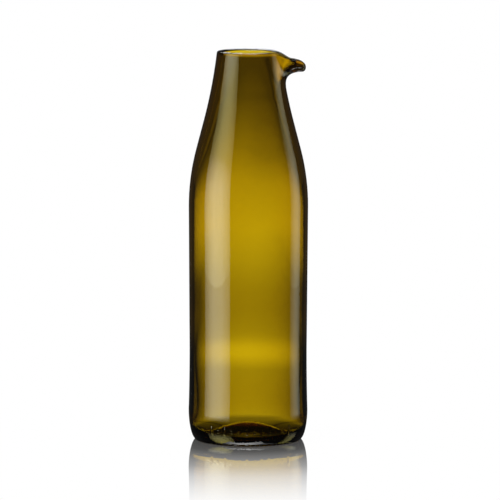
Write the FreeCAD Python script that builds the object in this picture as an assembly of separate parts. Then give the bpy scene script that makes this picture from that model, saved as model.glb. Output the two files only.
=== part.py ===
import FreeCAD, Part
import math
import os

os.makedirs("parts", exist_ok=True)

# A pouring carafe of bottle glass, all one piece: a round bottle body on a
# pushed-up base, its neck opened wide, the cut edge melted round, and one side of
# the mouth drawn out into a drooping beak. Millimetres and degrees. The table is
# Z = 0, the axis of the body is Z and the beak points along +X.

# Body
height = 253.8              # table to the crest of the lip
band_diameter = 77.5        # at the heel band and at the foot of the shoulder
waist_draw = 0.6            # the panel between them draws in this much all round
waist_height = 60.0
wall = 2.8

# Heel and base
heel_inset = 5.2            # the heel band overhangs the standing ring by this
heel_height = 19.5          # top of the heel curve, in the heel band
ring_width = 1.6            # flat ring that the carafe stands on
punt_height = 7.5           # how far the base is pushed up at the axis
punt_edge_radius = 4.0      # bend from the standing ring into the punt
floor_thickness = 4.7       # glass over the top of the punt
heel_thickness = 4.2        # glass under the lowest part of the inner floor
heel_inner_radius = 7.0     # bend from the inner floor into the wall

# Shoulder and neck
shoulder_radius = 144.0
cone_length = 19.4          # straight run between the shoulder and neck curves
neck_radius = 328.0         # hollow curve from the cone up to the mouth
rim_angle = 6.85            # lean that is left in the wall at the mouth
rim_diameter = 41.4         # outside of the mouth, across the beak

# Beak
beak_reach = 16.4           # outside of the mouth to the tip
beak_drop = 10.8            # crest of the lip down to the middle of the tip
beak_tip_thickness = 5.6    # the drawn glass gathers into a thick tip
tip_gather = 5.0            # a higher power keeps the thick glass nearer the tip
beak_width = 9.3            # between the two places where the pull is half of its most
beak_rise = 14.6            # climb of the channel floor towards the tip
beak_floor_length = 9.8     # stretch over which the floor has that climb
beak_dip = 0.12             # half way out the crest dips by this share of the drop
dip_narrowing = 1.8         # a higher number keeps that dip off both ends of the beak
pull_depth = 26.8           # length of neck below the lip that the pull bends

# How finely the pulled mouth is drawn
stations_around = 72
beak_crowding = 0.35        # 1 spaces the stations evenly, less crowds them on the beak
rows_up_wall = 10
rows_over_lip = 7
join_tolerance = 0.002      # between the mouth and the turned skins that it joins

# Places that follow from the sizes
band_radius = band_diameter / 2
waist_radius = band_radius - waist_draw
rim_radius = rim_diameter / 2
ring_outer = band_radius - heel_inset
ring_inner = ring_outer - ring_width
lip_radius = wall / 2
lip_height = height - lip_radius

# The shoulder arc curls round a centre inside the body, the neck arc round one
# outside it, and the straight cone between them is tangent to both. Its lean is
# what brings the band down to the rim.
rim_lean = math.radians(rim_angle)
neck_centre_r = rim_radius - lip_radius + (neck_radius + lip_radius) * math.cos(rim_lean)
neck_centre_z = lip_height + (neck_radius + lip_radius) * math.sin(rim_lean)
shoulder_centre_r = band_radius - shoulder_radius
arcs_total = shoulder_radius + neck_radius
arcs_span = (neck_centre_r - shoulder_centre_r) / math.hypot(arcs_total, cone_length)
cone_lean = math.acos(arcs_span) - math.atan(cone_length / arcs_total)
shoulder_centre_z = neck_centre_z - arcs_total * math.sin(cone_lean) - cone_length * math.cos(cone_lean)
pull_lean = math.asin((neck_centre_z - lip_height + pull_depth) / (neck_radius + lip_radius))


def at(radius, z):
    """A point of the meridian, on the side away from the beak."""
    return FreeCAD.Vector(-radius, 0, z)


def arc(centre_r, centre_z, radius, start, end):
    """Meridian arc; its angles run upwards from straight outwards."""
    points = []
    for turn in (start, (start + end) / 2, end):
        points.append(at(centre_r + radius * math.cos(turn), centre_z + radius * math.sin(turn)))
    return Part.Arc(*points).toShape()


def flank(inset):
    """Side of the carafe from the heel band up to the pulled part, set in from the outer skin."""
    rise = waist_height - heel_height
    hollow_radius = (rise**2 + waist_draw**2) / (2 * waist_draw)
    turn = math.asin(rise / hollow_radius)
    hollow = arc(waist_radius + hollow_radius, waist_height, hollow_radius + inset, math.pi + turn, math.pi)
    shoulder = arc(shoulder_centre_r, shoulder_centre_z, shoulder_radius - inset, 0, cone_lean)
    neck = arc(neck_centre_r, neck_centre_z, neck_radius + inset, math.pi + cone_lean, math.pi + pull_lean)
    panel = Part.makeLine(hollow.Vertexes[-1].Point, shoulder.Vertexes[0].Point)
    cone = Part.makeLine(shoulder.Vertexes[-1].Point, neck.Vertexes[0].Point)
    return [hollow, panel, shoulder, cone, neck]


def underside():
    """Punt, standing ring and heel curve, from the axis out to the heel band."""
    lift = punt_height - punt_edge_radius
    dome_radius = (ring_inner**2 + lift**2 - punt_edge_radius**2) / (2 * punt_height)
    turn = math.asin(ring_inner / (dome_radius + punt_edge_radius))
    dome = arc(0, punt_height - dome_radius, dome_radius, math.pi / 2, math.pi / 2 - turn)
    edge = arc(ring_inner, punt_edge_radius, punt_edge_radius, 1.5 * math.pi - turn, 1.5 * math.pi)
    ring = Part.makeLine(at(ring_inner, 0), at(ring_outer, 0))
    curve = Part.Ellipse(at(ring_outer, 0), at(band_radius, heel_height), at(ring_outer, heel_height))
    heel = Part.ArcOfEllipse(curve, 0, math.pi / 2).toShape()
    return [dome, edge, ring, heel]


def inner_floor():
    """Top of the floor, from the axis out and up the wall to the heel band."""
    apex = punt_height + floor_thickness
    bend_r = band_radius - wall - heel_inner_radius
    bend_z = heel_thickness + heel_inner_radius
    rise = apex - heel_thickness
    dome_radius = (bend_r**2 + (apex - bend_z)**2 - heel_inner_radius**2) / (2 * rise)
    turn = math.asin(bend_r / (dome_radius + heel_inner_radius))
    dome = arc(0, apex - dome_radius, dome_radius, math.pi / 2, math.pi / 2 - turn)
    bend = arc(bend_r, bend_z, heel_inner_radius, 1.5 * math.pi - turn, 2 * math.pi)
    upright = Part.makeLine(bend.Vertexes[-1].Point, flank(wall)[0].Vertexes[0].Point)
    return [dome, bend, upright]


def revolved(edges):
    """Skin that a run of meridian edges sweeps round the axis."""
    return Part.Wire(edges).revolve(FreeCAD.Vector(0, 0, 0), FreeCAD.Vector(0, 0, 1), 360)


def plain_neck(share):
    """Radius and height of the inner wall, from the start of the pull (0) to the lip (1)."""
    lean = pull_lean + (rim_lean - pull_lean) * share
    radius = neck_radius + wall
    return neck_centre_r - radius * math.cos(lean), neck_centre_z - radius * math.sin(lean)


def channel_floor():
    """Middle line of the beak inside: up the neck wall, then out and up to the tip."""
    rise = math.radians(beak_rise)
    half_tip = beak_tip_thickness / 2
    end_x = rim_radius + beak_reach - half_tip - half_tip * math.sin(rise)
    end_z = height - beak_drop + half_tip * math.cos(rise)
    start_x, start_z = plain_neck(0)
    step_x = (neck_radius + wall) * math.sin(pull_lean) * (rim_lean - pull_lean) / 4
    step_z = (neck_radius + wall) * math.cos(pull_lean) * (pull_lean - rim_lean) / 4
    poles = [
        (start_x, start_z),
        (start_x + step_x, start_z + step_z),
        (start_x + 2 * step_x, start_z + 2 * step_z),
        (end_x - beak_floor_length * math.cos(rise), end_z - beak_floor_length * math.sin(rise)),
        (end_x, end_z),
    ]
    line = Part.BezierCurve()
    line.setPoles([FreeCAD.Vector(x, 0, z) for x, z in poles])
    return line


floor_line = channel_floor()
inner_rim_radius = rim_radius - wall


def pull_at(azimuth):
    """Share of the full pull at an azimuth: 1 on the beak, falling away like a bell."""
    chord = 2 * inner_rim_radius * math.sin(azimuth / 2)
    return 0.5**((2 * chord / beak_width)**2)


def dip_at(pull):
    """Extra share of the drop between the mouth and the tip."""
    bump = math.sin(math.pi * pull)**2
    return beak_dip * bump * (1 - dip_narrowing * (1 - bump))


def inner_point(azimuth, share):
    """Point of the pulled inner wall."""
    radius, z = plain_neck(share)
    point = FreeCAD.Vector(radius * math.cos(azimuth), radius * math.sin(azimuth), z)
    if share > 0:
        pull = pull_at(azimuth)
        move = floor_line.value(share) - FreeCAD.Vector(radius, 0, z)
        point += FreeCAD.Vector(move.x * pull, 0, move.z * (pull + dip_at(pull)))
    return point


def wall_frame(azimuth, share):
    """Inner wall point, the direction out through the glass and the direction up the wall."""
    nudge = 1e-4
    upwards = inner_point(azimuth, share + nudge) - inner_point(azimuth, share - nudge)
    around = inner_point(azimuth + nudge, share) - inner_point(azimuth - nudge, share)
    outwards = around.cross(upwards).normalize()
    return inner_point(azimuth, share), outwards, outwards.cross(around).normalize()


def thickness(azimuth, share):
    """The wall thickens towards the tip of the beak."""
    return wall + (beak_tip_thickness - wall) * pull_at(azimuth)**tip_gather * share**3


def azimuth_of(place):
    """Azimuth of a place from 0 to 1 round the mouth; places crowd together on the beak."""
    turn = 2 * place - 1
    return math.pi * (beak_crowding * turn + (1 - beak_crowding) * turn**3)


def mouth_rows(places):
    """Rings of points: up the inner wall, over the melted lip and down the outer wall."""
    azimuths = [azimuth_of(place) for place in places]
    shares = [row / rows_up_wall for row in range(rows_up_wall + 1)]
    rows = [[inner_point(azimuth, share) for azimuth in azimuths] for share in shares]
    for row in range(1, rows_over_lip + 1):
        roll = math.pi * row / (rows_over_lip + 1)
        ring = []
        for azimuth in azimuths:
            point, outwards, upwards = wall_frame(azimuth, 1)
            half = thickness(azimuth, 1) / 2
            ring.append(point + outwards * half * (1 - math.cos(roll)) + upwards * half * math.sin(roll))
        rows.append(ring)
    for share in reversed(shares):
        ring = []
        for azimuth in azimuths:
            point, outwards, upwards = wall_frame(azimuth, share)
            ring.append(point + outwards * thickness(azimuth, share))
        rows.append(ring)
    return rows


def mouth_skin():
    """One smooth skin through all the rings of the mouth."""
    places = [station / stations_around for station in range(stations_around)]
    rings = []
    for row in mouth_rows(places):
        ring = Part.BSplineCurve()
        ring.interpolate(Points=row, Parameters=places + [1.0], PeriodicFlag=True)
        rings.append(ring)
    skin = Part.BSplineSurface()
    skin.buildFromNSections(rings)
    return skin.toShape()


inner_skin = revolved(inner_floor() + flank(wall))
outer_skin = revolved(underside() + flank(0))
joined, origins = mouth_skin().generalFuse([inner_skin, outer_skin], join_tolerance)
shell = Part.makeShell(joined.Faces)
shell.sewShape()
carafe = Part.makeSolid(shell)
carafe.exportStep("parts/carafe.step")
print(f"carafe: valid {carafe.isValid()}, {carafe.Volume / 1000:.1f} cm3 of glass, {carafe.BoundBox}")
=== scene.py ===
import math

import bpy
import numpy as np
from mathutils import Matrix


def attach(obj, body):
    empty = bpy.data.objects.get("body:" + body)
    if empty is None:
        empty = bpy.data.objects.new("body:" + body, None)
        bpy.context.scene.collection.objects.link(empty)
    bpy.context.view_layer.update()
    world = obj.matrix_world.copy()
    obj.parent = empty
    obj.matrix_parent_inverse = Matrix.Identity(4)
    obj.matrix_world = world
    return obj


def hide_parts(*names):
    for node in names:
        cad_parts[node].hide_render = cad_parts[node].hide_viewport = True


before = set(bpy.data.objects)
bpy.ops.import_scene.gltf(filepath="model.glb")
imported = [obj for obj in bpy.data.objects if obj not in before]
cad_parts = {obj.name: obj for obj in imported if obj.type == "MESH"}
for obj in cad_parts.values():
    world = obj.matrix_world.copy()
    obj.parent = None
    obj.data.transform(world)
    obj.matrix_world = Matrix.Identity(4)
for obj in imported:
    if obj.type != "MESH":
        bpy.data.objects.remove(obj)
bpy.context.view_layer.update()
print("frame loaded")

mm = 0.001

# the carafe: a round bottle body, opened neck and a drawn beak towards +X, in millimetres
carafe = dict(
    height=253.8,
    bandDiameter=77.5,        # heel band and foot of the shoulder
    waistDraw=0.6,            # the panel between them draws in
    waistHeight=60.0,
    wall=2.8,
    heelInset=5.2,
    heelHeight=19.5,
    ringWidth=1.6,
    puntHeight=7.5,
    puntEdge=4.0,
    floorThickness=4.7,
    heelThickness=4.2,
    heelInnerRadius=7.0,
    shoulderRadius=144.0,
    coneLength=19.4,
    neckRadius=328.0,
    rimAngle=6.85,
    rimDiameter=41.4,
    beakReach=16.4,
    beakDrop=10.8,
    beakTip=5.6,              # thickness of the gathered tip
    beakWidth=9.3,            # between the two places where half of the pull is left
    beakRise=14.6,
    beakFloor=9.8,
    beakDip=0.12,             # half way out the crest dips by this share of the drop
    dipNarrowing=1.8,
    tipGather=5.0,            # a higher power keeps the thick glass nearer the tip
    pullDepth=26.8,
    around=504,               # faces round the axis
)

# rings of faces along each stretch
steps = dict(
    hollow=9, panel=9, shoulder=9, cone=3, neck=6,
    puntDome=7, puntEdge=8, ring=3, heel=30,
    floorDome=7, floorBend=9, upright=2,
    pull=18, lip=14,
)


def arcRow(centreR, centreZ, radius, start, end, count):
    # count points of an arc after its first one, as (radius, height)
    turns = [start + (end - start) * (i + 1) / count for i in range(count)]
    return [(centreR + radius * math.cos(t), centreZ + radius * math.sin(t)) for t in turns]


def lineRow(start, end, count):
    return [(start[0] + (end[0] - start[0]) * (i + 1) / count,
             start[1] + (end[1] - start[1]) * (i + 1) / count) for i in range(count)]


class Outline:
    # places that follow from the sizes above

    def __init__(self, c):
        self.c = c
        self.bandR = c["bandDiameter"] / 2
        self.waistR = self.bandR - c["waistDraw"]
        self.rimR = c["rimDiameter"] / 2
        self.ringOuter = self.bandR - c["heelInset"]
        self.ringInner = self.ringOuter - c["ringWidth"]
        lipR = c["wall"] / 2
        lipZ = c["height"] - lipR
        self.rimLean = math.radians(c["rimAngle"])
        reach = c["neckRadius"] + lipR
        self.neckR = self.rimR - lipR + reach * math.cos(self.rimLean)
        self.neckZ = lipZ + reach * math.sin(self.rimLean)
        self.shoulderR = self.bandR - c["shoulderRadius"]
        total = c["shoulderRadius"] + c["neckRadius"]
        span = (self.neckR - self.shoulderR) / math.hypot(total, c["coneLength"])
        self.coneLean = math.acos(span) - math.atan(c["coneLength"] / total)
        self.shoulderZ = (self.neckZ - total * math.sin(self.coneLean)
                          - c["coneLength"] * math.cos(self.coneLean))
        self.pullLean = math.asin((self.neckZ - lipZ + c["pullDepth"]) / reach)

    def heelEnd(self, inset):
        return (self.bandR - inset, self.c["heelHeight"])

    def flank(self, inset):
        # side of the carafe from the heel band up to the drawn part
        c = self.c
        rise = c["waistHeight"] - c["heelHeight"]
        hollow = (rise**2 + c["waistDraw"]**2) / (2 * c["waistDraw"])
        turn = math.asin(rise / hollow)
        rows = arcRow(self.waistR + hollow, c["waistHeight"], hollow + inset,
                      math.pi + turn, math.pi, steps["hollow"])
        rows += lineRow(rows[-1], (self.bandR - inset, self.shoulderZ), steps["panel"])
        rows += arcRow(self.shoulderR, self.shoulderZ, c["shoulderRadius"] - inset,
                       0, self.coneLean, steps["shoulder"])
        neckStart = (self.neckR - (c["neckRadius"] + inset) * math.cos(self.coneLean),
                     self.neckZ - (c["neckRadius"] + inset) * math.sin(self.coneLean))
        rows += lineRow(rows[-1], neckStart, steps["cone"])
        rows += arcRow(self.neckR, self.neckZ, c["neckRadius"] + inset,
                       math.pi + self.coneLean, math.pi + self.pullLean, steps["neck"])
        return rows

    def underside(self):
        # from the axis out over the punt, the standing ring and the heel curve
        c = self.c
        edge = c["puntEdge"]
        lift = c["puntHeight"] - edge
        dome = (self.ringInner**2 + lift**2 - edge**2) / (2 * c["puntHeight"])
        turn = math.asin(self.ringInner / (dome + edge))
        rows = arcRow(0, c["puntHeight"] - dome, dome, math.pi / 2, math.pi / 2 - turn, steps["puntDome"])
        rows += arcRow(self.ringInner, edge, edge, 1.5 * math.pi - turn, 1.5 * math.pi, steps["puntEdge"])
        rows += lineRow(rows[-1], (self.ringOuter, 0), steps["ring"])
        for i in range(steps["heel"]):
            turn = math.pi / 2 * (i + 1) / steps["heel"]
            rows.append((self.ringOuter + c["heelInset"] * math.sin(turn),
                         c["heelHeight"] * (1 - math.cos(turn))))
        return rows

    def innerFloor(self):
        c = self.c
        apex = c["puntHeight"] + c["floorThickness"]
        bend = c["heelInnerRadius"]
        bendR = self.bandR - c["wall"] - bend
        bendZ = c["heelThickness"] + bend
        rise = apex - c["heelThickness"]
        dome = (bendR**2 + (apex - bendZ)**2 - bend**2) / (2 * rise)
        turn = math.asin(bendR / (dome + bend))
        rows = arcRow(0, apex - dome, dome, math.pi / 2, math.pi / 2 - turn, steps["floorDome"])
        rows += arcRow(bendR, bendZ, bend, 1.5 * math.pi - turn, 2 * math.pi, steps["floorBend"])
        rows += lineRow(rows[-1], self.heelEnd(c["wall"]), steps["upright"])
        return rows


outline = Outline(carafe)


def neckWall(share):
    # inner wall from the start of the pull (0) to the lip (1)
    lean = outline.pullLean + (outline.rimLean - outline.pullLean) * share
    reach = carafe["neckRadius"] + carafe["wall"]
    return outline.neckR - reach * math.cos(lean), outline.neckZ - reach * math.sin(lean)


def beakLine(share):
    # middle line of the channel: up the neck, then out and up to the tip
    c = carafe
    rise = math.radians(c["beakRise"])
    half = c["beakTip"] / 2
    endX = outline.rimR + c["beakReach"] - half - half * math.sin(rise)
    endZ = c["height"] - c["beakDrop"] + half * math.cos(rise)
    x0, z0 = neckWall(0)
    reach = c["neckRadius"] + c["wall"]
    stepX = reach * math.sin(outline.pullLean) * (outline.rimLean - outline.pullLean) / 4
    stepZ = reach * math.cos(outline.pullLean) * (outline.pullLean - outline.rimLean) / 4
    poles = [(x0, z0), (x0 + stepX, z0 + stepZ), (x0 + 2 * stepX, z0 + 2 * stepZ),
             (endX - c["beakFloor"] * math.cos(rise), endZ - c["beakFloor"] * math.sin(rise)),
             (endX, endZ)]
    x = z = 0
    for k, weight in enumerate((1, 4, 6, 4, 1)):
        part = weight * share**k * (1 - share)**(4 - k)
        x += part * poles[k][0]
        z += part * poles[k][1]
    return x, z


def pullAt(azimuth):
    chord = 2 * (outline.rimR - carafe["wall"]) * np.sin(azimuth / 2)
    return 0.5**((2 * chord / carafe["beakWidth"])**2)


def dipAt(pull):
    bump = np.sin(math.pi * pull)**2
    return carafe["beakDip"] * bump * (1 - carafe["dipNarrowing"] * (1 - bump))


def innerPoint(azimuth, share):
    radius, z = neckWall(share)
    pull = pullAt(azimuth)
    x = radius * np.cos(azimuth)
    y = radius * np.sin(azimuth)
    height = np.full_like(azimuth, z)
    if share > 0:
        beakX, beakZ = beakLine(share)
        x = x + (beakX - radius) * pull
        height = height + (beakZ - z) * (pull + dipAt(pull))
    return np.stack([x, y, height], axis=1)


def unit(v):
    return v / np.linalg.norm(v, axis=1, keepdims=True)


def wallFrame(azimuth, share):
    nudge = 1e-4
    upwards = innerPoint(azimuth, share + nudge) - innerPoint(azimuth, share - nudge)
    along = innerPoint(azimuth + nudge, share) - innerPoint(azimuth - nudge, share)
    outwards = unit(np.cross(along, upwards))
    return innerPoint(azimuth, share), outwards, unit(np.cross(outwards, along))


def thickness(azimuth, share):
    gather = pullAt(azimuth)**carafe["tipGather"]
    return carafe["wall"] + (carafe["beakTip"] - carafe["wall"]) * gather * share**3


def turnedRow(radius, z, azimuth):
    level = np.full_like(azimuth, z)
    return np.stack([radius * np.cos(azimuth), radius * np.sin(azimuth), level], axis=1)


# blown glass is uneven: the inside stands further in at these heights, in millimetres
swells = (
    dict(height=28, reach=14, extra=0.3),
    dict(height=88, reach=18, extra=0.35),
)
neckSwell = dict(start=110, end=250, extra=1.1)       # a steady growth
waves = dict(seed=7, count=9, depth=0.03)
evenFloor = dict(below=16, power=8)                   # the inner floor stays even to its edge

# round the heel: small knurls under the standing ring, and a row of plain moulded marks
knurls = dict(count=72, depth=0.5, reach=1.6, below=2)
marks = dict(
    pattern="|.|..|.||..|",   # short bars and round dots
    first=-128.0,             # azimuths in degrees, the front is -90
    step=7.4,
    height=10.0,
    barReach=2.2,
    halfWidth=0.6,
    relief=0.6,
    above=4,                  # the standing ring keeps none
)


def makeWaves(w):
    rng = np.random.default_rng(w["seed"])
    return [(rng.integers(1, 6), rng.uniform(0.01, 0.05), *rng.uniform(0, 2 * math.pi, 2))
            for _ in range(w["count"])]


waveList = makeWaves(waves)


def unevenness(azimuth, z):
    # how far the inside stands in from the even wall
    n = neckSwell
    extra = n["extra"] * np.clip((z - n["start"]) / (n["end"] - n["start"]), 0, 1)
    for s in swells:
        extra = extra + s["extra"] * np.exp(-((z - s["height"]) / s["reach"])**2)
    for turns, pitch, phase, shift in waveList:
        extra = extra + waves["depth"] * np.sin(turns * azimuth + phase) * np.sin(pitch * z + shift)
    return extra


def knurlAt(azimuth, radius, z):
    # the gaps between the knurls are hollows pressed up into the standing ring
    middle = outline.ringOuter - carafe["ringWidth"] / 2
    near = np.exp(-((radius - middle) / knurls["reach"])**4) * (z < knurls["below"])
    return knurls["depth"] * near * (0.5 - 0.5 * np.cos(knurls["count"] * azimuth))


def markAt(azimuth, z):
    m = marks
    relief = np.zeros_like(azimuth)
    for i, kind in enumerate(m["pattern"]):
        middle = math.radians(m["first"] + m["step"] * i)
        away = (azimuth - middle + math.pi) % (2 * math.pi) - math.pi
        reach = m["barReach"] if kind == "|" else m["halfWidth"]
        across = away * outline.bandR / m["halfWidth"]
        along = (z - m["height"]) / reach
        relief = relief + np.exp(-across**4 - along**4)
    return m["relief"] * relief


def carafeRows():
    azimuth = np.linspace(0, 2 * math.pi, carafe["around"], endpoint=False)
    wallIn = outline.innerFloor() + outline.flank(carafe["wall"])
    rows = []
    for r, z in wallIn[:-1]:
        onFloor = (r / wallIn[-1][0])**evenFloor["power"] if z < evenFloor["below"] else 1
        swell = unevenness(azimuth, z) * min(1, onFloor)
        rows.append(turnedRow(r - swell, z, azimuth))
    shares = [i / steps["pull"] for i in range(steps["pull"] + 1)]
    for s in shares:
        point, outwards, upwards = wallFrame(azimuth, s)
        rows.append(point - outwards * unevenness(azimuth, point[:, 2])[:, None])
    point, outwards, upwards = wallFrame(azimuth, 1)
    thick = thickness(azimuth, 1)[:, None]
    inner = unevenness(azimuth, point[:, 2])[:, None]
    half = (thick + inner) / 2
    for i in range(1, steps["lip"]):
        roll = math.pi * i / steps["lip"]
        crest = thick / 2 * math.sin(roll)
        rows.append(point + outwards * (half * (1 - math.cos(roll)) - inner) + upwards * crest)
    for s in reversed(shares):
        point, outwards, upwards = wallFrame(azimuth, s)
        rows.append(point + outwards * thickness(azimuth, s)[:, None])
    wallOut = outline.underside() + outline.flank(0)
    for r, z in reversed(wallOut[:-1]):
        row = turnedRow(r + (markAt(azimuth, z) if z > marks["above"] else 0), z, azimuth)
        row[:, 2] += knurlAt(azimuth, r, z)
        rows.append(row)
    return rows


def closedSkin(name, rows, firstZ, lastZ):
    # skin of quads through rings of points, closed by a fan at each end
    around = len(rows[0])
    verts = [(0, 0, firstZ * mm)]
    for row in rows:
        verts += [tuple(p) for p in (row * mm)]
    verts.append((0, 0, lastZ * mm))
    faces = []
    for i in range(around):
        j = (i + 1) % around
        faces.append((0, 1 + i, 1 + j))
        for k in range(len(rows) - 1):
            low = 1 + k * around
            high = low + around
            faces.append((low + i, high + i, high + j, low + j))
        top = 1 + (len(rows) - 1) * around
        faces.append((top + i, len(verts) - 1, top + j))
    mesh = bpy.data.meshes.new(name)
    mesh.from_pydata(verts, [], faces)
    mesh.validate()
    mesh.shade_smooth()
    piece = bpy.data.objects.new(name, mesh)
    bpy.context.scene.collection.objects.link(piece)
    return piece


glassBody = closedSkin(
    "glass_carafe", carafeRows(),
    carafe["puntHeight"] + carafe["floorThickness"], carafe["puntHeight"])
print("carafe drawn:", len(glassBody.data.polygons), "faces")

# bottle glass: clear, tinted in the depth of the wall
glassLook = dict(
    ior=1.52,
    haze=(0.004, 0.02),
    hazeScale=180.0,
    rippleScale=45.0,
    rippleDepth=0.00001,         # metres
    noiseSpread=(0.3, 0.7),      # this part of the noise fills the whole range
    noiseDetail=2,
    tint=(0.944, 0.906, 0.45),
    density=2000.0,              # absorbs this much a metre, times what the tint lacks
)


def surfaceGroup(look):
    # fire-polished skin: wide slow ripples and a fine uneven haze
    group = bpy.data.node_groups.new("bottle_glass_skin", "ShaderNodeTree")
    for name in ("Roughness", "Height"):
        group.interface.new_socket(name, in_out="OUTPUT", socket_type="NodeSocketFloat")
    ends = group.nodes.new("NodeGroupOutput")
    place = group.nodes.new("ShaderNodeTexCoord")
    for name, scale, low, high in (("Roughness", look["hazeScale"], *look["haze"]),
                                   ("Height", look["rippleScale"], 0, 1)):
        noise = group.nodes.new("ShaderNodeTexNoise")
        noise.inputs["Scale"].default_value = scale
        noise.inputs["Detail"].default_value = look["noiseDetail"]
        spread = group.nodes.new("ShaderNodeMapRange")
        spread.inputs["From Min"].default_value = look["noiseSpread"][0]
        spread.inputs["From Max"].default_value = look["noiseSpread"][1]
        spread.inputs["To Min"].default_value = low
        spread.inputs["To Max"].default_value = high
        group.links.new(place.outputs["Object"], noise.inputs["Vector"])
        group.links.new(noise.outputs["Fac"], spread.inputs["Value"])
        group.links.new(spread.outputs["Result"], ends.inputs[name])
    return group


def glassMaterial(look):
    material = bpy.data.materials.new("olive_bottle_glass")
    material.use_nodes = True
    tree = material.node_tree
    tree.nodes.clear()
    out = tree.nodes.new("ShaderNodeOutputMaterial")
    shader = tree.nodes.new("ShaderNodeBsdfPrincipled")
    shader.inputs["Base Color"].default_value = (1, 1, 1, 1)
    shader.inputs["Transmission Weight"].default_value = 1
    shader.inputs["IOR"].default_value = look["ior"]
    skin = tree.nodes.new("ShaderNodeGroup")
    skin.node_tree = surfaceGroup(look)
    bump = tree.nodes.new("ShaderNodeBump")
    bump.inputs["Distance"].default_value = look["rippleDepth"]
    tree.links.new(skin.outputs["Roughness"], shader.inputs["Roughness"])
    tree.links.new(skin.outputs["Height"], bump.inputs["Height"])
    tree.links.new(bump.outputs["Normal"], shader.inputs["Normal"])
    depth = tree.nodes.new("ShaderNodeVolumeAbsorption")
    depth.inputs["Color"].default_value = (*look["tint"], 1)
    depth.inputs["Density"].default_value = look["density"]
    tree.links.new(shader.outputs["BSDF"], out.inputs["Surface"])
    tree.links.new(depth.outputs["Volume"], out.inputs["Volume"])
    return material


glassBody.data.materials.append(glassMaterial(glassLook))
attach(glassBody, "root")
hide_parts("carafe")
print("glass set")

# stage: a pale polished table top. The camera sees plain white with the carafe's mirror image
# fading out of it. Through the glass the table is not that white but painted light: glowing rings,
# laid out by distance and dimmer to the sides, with one layout for a single wall and one for two.
stage = dict(
    radius=6.0,
    rings=24,
    around=96,
    paper=0.86,
    shadowShare=0.35,         # share of real shading beside the carafe
    shadowReach=0.09,
    mirrorReach=0.26,
    mirrorFade=[(0.0, 1.0), (0.2, 0.95), (0.42, 0.7), (0.57, 0.42), (0.72, 0.23),
                (0.87, 0.08), (1.0, 0.0)],
    topIor=1.5,
    glossGain=2.4,
    # the table as the glass mirrors it: a painted dark glow, mirrored near the axis and further out,
    # painted shade in the ring between
    polish=[(0.0, 0.8), (0.042, 0.8), (0.05, 0.0), (0.1, 0.0), (0.16, 0.8)],
    paintedShadeLevel=0.02,
    poolReach=6.0,
    # metres from the axis, and the painted glow that lies there as seen through two walls
    pool=[(0.03, 0.05), (0.09, 0.38), (0.14, 0.6), (0.28, 0.58), (0.37, 0.95), (0.43, 0.93),
          (0.52, 0.6), (0.63, 0.53), (1.25, 0.87), (1.7, 0.74), (2.1, 0.43), (2.5, 0.24),
          (2.9, 0.16), (3.15, 0.12), (3.45, 0.12), (3.65, 0.09), (3.8, 0.045), (4.1, 0.1),
          (4.6, 0.18), (6.0, 0.18)],
    # by sideways distance as a share of the whole distance
    sideFade=[(0.0, 1.0), (0.4, 1.0), (0.5, 0.6), (0.75, 0.25), (1.0, 0.12)],
    # the same as seen through a single wall
    farPool=[(0.4, 0.02), (0.8, 0.85), (4.0, 0.7), (6.0, 0.3)],
    poolGain=1.3,
    beams=8,                  # near the carafe the painted pool is this many beams
    beamPower=1.6,            # higher for narrower beams
    beamNarrowing=[(0.1, 0.15), (0.37, 0.6), (0.62, 0.85)],
    beamsEnd=[(0.45, 0), (0.9, 0.7), (1.3, 1.0)],
    echo=0.1,                 # share of the painted pool left to light that has bounced inside the glass
)


# how many faces of glass, or mirrorings, a ray has behind it
rayCounts = dict(mirroredOnce=0.5, mirroredTwice=1.5, throughOneWall=2.5, throughTwoWalls=3.5)


def discMesh(name, radius, rings, around):
    # rings crowd towards the middle
    verts = [(0, 0, 0)]
    faces = []
    for k in range(1, rings + 1):
        r = radius * (k / rings)**3
        for i in range(around):
            turn = 2 * math.pi * i / around
            verts.append((r * math.cos(turn), r * math.sin(turn), 0))
    for i in range(around):
        j = (i + 1) % around
        faces.append((0, 1 + i, 1 + j))
        for k in range(rings - 1):
            low = 1 + k * around
            faces.append((low + i, low + around + i, low + around + j, low + j))
    mesh = bpy.data.meshes.new(name)
    mesh.from_pydata(verts, [], faces)
    floor = bpy.data.objects.new(name, mesh)
    bpy.context.scene.collection.objects.link(floor)
    return floor


def ramp(tree, source, stops, reach, ease="LINEAR"):
    # grey levels along a length, given as (place, level)
    made = tree.nodes.new("ShaderNodeValToRGB")
    band = made.color_ramp
    band.interpolation = ease
    while len(band.elements) < len(stops):
        band.elements.new(1)
    for element, (place, level) in zip(band.elements, stops):
        element.position = place / reach
        element.color = (level, level, level, 1)
    tree.links.new(maths(tree, "DIVIDE", source, reach), made.inputs[0])
    return made.outputs[0]


def maths(tree, operation, *values):
    made = tree.nodes.new("ShaderNodeMath")
    made.operation = operation
    for socket, value in zip(made.inputs, values):
        if isinstance(value, (int, float)):
            socket.default_value = value
        else:
            tree.links.new(value, socket)
    return made.outputs[0]


def mixShaders(tree, share, first, second):
    made = tree.nodes.new("ShaderNodeMixShader")
    if isinstance(share, (int, float)):
        made.inputs[0].default_value = share
    else:
        tree.links.new(share, made.inputs[0])
    tree.links.new(first, made.inputs[1])
    tree.links.new(second, made.inputs[2])
    return made.outputs[0]


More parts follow.
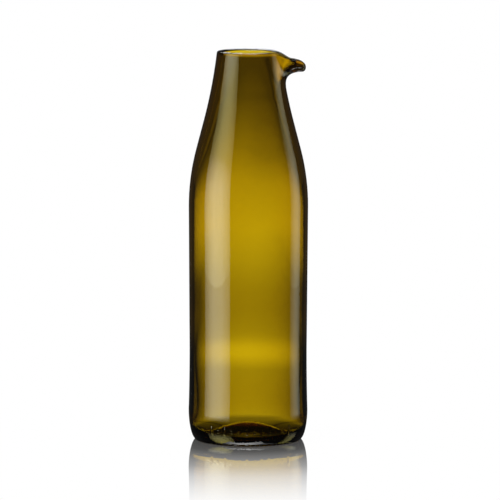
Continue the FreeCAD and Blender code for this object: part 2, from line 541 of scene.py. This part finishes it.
def floorMaterial(s):
    material = bpy.data.materials.new("pale_table")
    material.use_nodes = True
    tree = material.node_tree
    tree.nodes.clear()
    link = tree.links.new
    out = tree.nodes.new("ShaderNodeOutputMaterial")
    place = tree.nodes.new("ShaderNodeNewGeometry")
    length = tree.nodes.new("ShaderNodeVectorMath")
    length.operation = "LENGTH"
    link(place.outputs["Position"], length.inputs[0])
    distance = length.outputs["Value"]
    spot = tree.nodes.new("ShaderNodeSeparateXYZ")
    link(place.outputs["Position"], spot.inputs[0])
    path = tree.nodes.new("ShaderNodeLightPath")
    paper = tree.nodes.new("ShaderNodeBsdfDiffuse")
    paper.inputs["Color"].default_value = (s["paper"],) * 3 + (1,)
    white = tree.nodes.new("ShaderNodeEmission")
    mirror = tree.nodes.new("ShaderNodeBsdfGlossy")
    mirror.inputs["Color"].default_value = (1, 1, 1, 1)
    mirror.inputs["Roughness"].default_value = 0
    # for the camera: white, with a soft shadow and a fading mirror image round the carafe
    shadowStops = [(0, s["shadowShare"]), (s["shadowReach"], 0)]
    shading = ramp(tree, distance, shadowStops, s["shadowReach"], "EASE")
    shaded = mixShaders(tree, shading, white.outputs[0], paper.outputs[0])
    mirrorStops = [(place * s["mirrorReach"], level) for place, level in s["mirrorFade"]]
    fade = ramp(tree, distance, mirrorStops, s["mirrorReach"])
    gloss = tree.nodes.new("ShaderNodeFresnel")
    gloss.inputs["IOR"].default_value = s["topIor"]
    grazing = maths(tree, "MINIMUM", maths(tree, "MULTIPLY", gloss.outputs[0], s["glossGain"]), 1.0)
    seen = mixShaders(tree, maths(tree, "MULTIPLY", fade, grazing), shaded, mirror.outputs[0])
    # for what the glass mirrors: a polished top of painted dark glow, with a ring of painted shade close
    # round the carafe where the mirror is left out
    dark = tree.nodes.new("ShaderNodeEmission")
    dark.inputs["Strength"].default_value = s["paintedShadeLevel"]
    polish = ramp(tree, distance, s["polish"], 1.0)
    polished = mixShaders(tree, polish, dark.outputs[0], mirror.outputs[0])
    # for what shows through the glass: a painted pool of light, the table glowing by distance from the
    # axis
    paintedPoolGlow = tree.nodes.new("ShaderNodeEmission")
    turn = maths(tree, "ARCTAN2", spot.outputs["X"], spot.outputs["Y"])
    swing = maths(tree, "COSINE", maths(tree, "MULTIPLY", turn, float(s["beams"])))
    narrowing = ramp(tree, distance, s["beamNarrowing"], s["poolReach"])
    power = maths(tree, "MULTIPLY", narrowing, s["beamPower"])
    beam = maths(tree, "POWER", maths(tree, "MULTIPLY_ADD", swing, 0.5, 0.5), power)
    evened = ramp(tree, distance, s["beamsEnd"], s["poolReach"])
    beam = maths(tree, "MAXIMUM", beam, evened)
    poolLevel = maths(tree, "MULTIPLY", ramp(tree, distance, s["pool"], s["poolReach"]), beam)
    crossed = path.outputs["Transmission Depth"]
    oneWall = maths(tree, "LESS_THAN", crossed, rayCounts["throughOneWall"])
    farLight = maths(tree, "MULTIPLY", ramp(tree, distance, s["farPool"], s["poolReach"]), oneWall)
    bounced = maths(tree, "GREATER_THAN", path.outputs["Glossy Depth"], rayCounts["mirroredOnce"])
    gain = maths(tree, "MULTIPLY_ADD", bounced, s["poolGain"] * (s["echo"] - 1), s["poolGain"])
    twoWalls = maths(tree, "MULTIPLY", poolLevel, maths(tree, "SUBTRACT", 1.0, oneWall))
    aside = maths(tree, "ABSOLUTE", maths(tree, "DIVIDE", spot.outputs["X"], distance))
    dimmed = maths(tree, "MULTIPLY", gain, ramp(tree, aside, s["sideFade"], 1.0))
    shown = maths(tree, "MULTIPLY", maths(tree, "ADD", twoWalls, farLight), dimmed)
    link(shown, paintedPoolGlow.inputs["Strength"])
    indirect = mixShaders(tree, path.outputs["Is Glossy Ray"], paper.outputs[0], polished)
    inGlass = mixShaders(tree, path.outputs["Is Transmission Ray"], indirect, paintedPoolGlow.outputs[0])
    link(mixShaders(tree, path.outputs["Is Camera Ray"], inGlass, seen), out.inputs["Surface"])
    return material


floor = discMesh("table_top", stage["radius"], stage["rings"], stage["around"])
floor.data.materials.append(floorMaterial(stage))

# world: white for the camera and for the table's mirror image, soft grey light for the rest,
# dim where the glass mirrors it, and through the glass dark up to the ceiling light; in the
# table's mirror image the glass stands before the pale skyline
surround = dict(
    fill=0.36,
    # by the sine of the elevation
    mirrored=[(0.0, 0.03), (0.80, 0.03), (0.86, 0.6)],
    through=[(0.0, 0.09), (0.17, 0.09), (0.2, 0.03), (0.84, 0.03), (0.88, 0.8)],
    skyline=[(0.0, 0.75), (0.22, 0.75), (0.26, 0.04)],
)


def worldLight(s):
    world = bpy.data.worlds.new("soft_surround")
    bpy.context.scene.world = world
    world.use_nodes = True
    tree = world.node_tree
    tree.nodes.clear()
    link = tree.links.new
    out = tree.nodes.new("ShaderNodeOutputWorld")
    path = tree.nodes.new("ShaderNodeLightPath")
    heading = tree.nodes.new("ShaderNodeTexCoord")
    split = tree.nodes.new("ShaderNodeSeparateXYZ")
    link(heading.outputs["Generated"], split.inputs[0])
    lift = split.outputs["Z"]
    mirrored = ramp(tree, lift, s["mirrored"], 1.0)
    mirrors = path.outputs["Glossy Depth"]
    crossed = path.outputs["Transmission Depth"]
    inTable = maths(tree, "MULTIPLY", maths(tree, "GREATER_THAN", mirrors, rayCounts["mirroredOnce"]),
                    maths(tree, "GREATER_THAN", crossed, rayCounts["throughTwoWalls"]))
    skyline = maths(tree, "MULTIPLY", ramp(tree, lift, s["skyline"], 1.0), inTable)
    through = maths(tree, "MAXIMUM", ramp(tree, lift, s["through"], 1.0), skyline)

    def light(level):
        made = tree.nodes.new("ShaderNodeBackground")
        made.inputs["Color"].default_value = (1, 1, 1, 1)
        if isinstance(level, (int, float)):
            made.inputs["Strength"].default_value = level
        else:
            link(level, made.inputs["Strength"])
        return made.outputs[0]

    plain = mixShaders(tree, path.outputs["Is Glossy Ray"], light(s["fill"]), light(mirrored))
    clear = mixShaders(tree, path.outputs["Is Transmission Ray"], plain, light(through))
    sharp = maths(tree, "MULTIPLY", path.outputs["Is Singular Ray"], path.outputs["Is Glossy Ray"])
    early = maths(tree, "LESS_THAN", mirrors, rayCounts["mirroredTwice"])
    firstMirror = maths(tree, "MULTIPLY", sharp, early)
    white = maths(tree, "MAXIMUM", firstMirror, path.outputs["Is Camera Ray"])
    link(mixShaders(tree, white, clear, light(1.0)), out.inputs["Surface"])


worldLight(surround)

# two tall softboxes beside the camera, brightest in the middle and near the table, and two
# small tilted ones, over the back and over the camera. They light the table and show in
# reflections, but not to the camera or through the glass, and they cast no shadow.
softboxes = dict(
    left=dict(middle=-63.5, tilt=0, halfAngle=28.5, distance=0.75, low=0.0, top=1.1, radiance=4.8),
    right=dict(middle=103.0, tilt=0, halfAngle=15.0, distance=0.75, low=0.0, top=1.1, radiance=1.6),
    back=dict(middle=-170.0, tilt=50, halfAngle=16.0, distance=1.1, low=-0.2, top=0.2, radiance=8.0),
    above=dict(middle=-12.0, tilt=62, halfAngle=30.0, distance=1.0, low=-0.16, top=0.16, radiance=6.0),
)
softboxGlow = dict(
    # height, red, green, blue; the tilted ones stay white
    upwards=[(0.0, 1.1, 1.12, 0.86), (0.22, 1.1, 1.12, 0.86), (0.33, 1.0, 0.96, 0.62),
             (0.42, 0.85, 0.78, 0.32), (1.1, 0.82, 0.72, 0.14)],
    across=[(0.0, 0.25), (0.4, 1.0), (0.65, 1.0), (1.0, 0.35)],
)


def addSoftbox(name, s, glow):
    # azimuths are measured from the camera's side, positive to the right; tilt lifts the
    # box on a circle round the carafe
    turn = math.radians(s["middle"])
    tilt = math.radians(s["tilt"])
    half = s["distance"] * math.tan(math.radians(s["halfAngle"]))
    corners = [(-half, 0, s["low"]), (half, 0, s["low"]), (half, 0, s["top"]), (-half, 0, s["top"])]
    mesh = bpy.data.meshes.new(name)
    mesh.from_pydata(corners, [], [(0, 1, 2, 3)])
    box = bpy.data.objects.new(name, mesh)
    away = s["distance"] * math.cos(tilt)
    box.location = (away * math.sin(turn), -away * math.cos(turn), s["distance"] * math.sin(tilt))
    box.rotation_euler = (-tilt, 0, turn)
    box.visible_camera = False
    box.visible_transmission = False
    box.visible_shadow = False
    bpy.context.scene.collection.objects.link(box)
    material = bpy.data.materials.new(name + "_light")
    material.use_nodes = True
    tree = material.node_tree
    tree.nodes.clear()
    place = tree.nodes.new("ShaderNodeTexCoord")
    split = tree.nodes.new("ShaderNodeSeparateXYZ")
    tree.links.new(place.outputs["Object"], split.inputs[0])
    sideways = maths(tree, "MULTIPLY_ADD", split.outputs["X"], 0.5 / half, 0.5)
    across = ramp(tree, sideways, glow["across"], 1.0)
    light = tree.nodes.new("ShaderNodeEmission")
    if s["tilt"] == 0:
        colors = tree.nodes.new("ShaderNodeValToRGB")
        bands = colors.color_ramp.elements
        while len(bands) < len(glow["upwards"]):
            bands.new(1)
        for element, (height, *color) in zip(bands, glow["upwards"]):
            element.position = height / s["top"]
            element.color = (*color, 1)
        tree.links.new(maths(tree, "DIVIDE", split.outputs["Z"], s["top"]), colors.inputs[0])
        tree.links.new(colors.outputs[0], light.inputs["Color"])
    tree.links.new(maths(tree, "MULTIPLY", across, s["radiance"]), light.inputs["Strength"])
    out = tree.nodes.new("ShaderNodeOutputMaterial")
    tree.links.new(light.outputs[0], out.inputs["Surface"])
    mesh.materials.append(material)


for side, setting in softboxes.items():
    addSoftbox("softbox_" + side, setting, softboxGlow)

# camera: a long lens well above the lip, looking down a little
cameraSetting = dict(lens=323.7, sensor=36, sight=50, distance=2.9, pitch=7.1, aimHeight=0.124,
                     offAxis=0.00107, roll=0.12)


def addCamera(s):
    lens = bpy.data.cameras.new("front_camera")
    lens.lens = s["lens"]
    lens.sensor_width = s["sensor"]
    lens.clip_end = s["sight"]
    camera = bpy.data.objects.new("front_camera", lens)
    pitch = math.radians(s["pitch"])
    camera.location = (s["offAxis"], -s["distance"], s["aimHeight"] + s["distance"] * math.tan(pitch))
    camera.rotation_euler = (math.pi / 2 - pitch, 0, 0)
    camera.rotation_euler.rotate_axis("Z", math.radians(s["roll"]))
    bpy.context.scene.collection.objects.link(camera)
    bpy.context.scene.camera = camera


addCamera(cameraSetting)
bpy.context.scene.view_settings.view_transform = "Standard"
print("stage, lights and camera set")
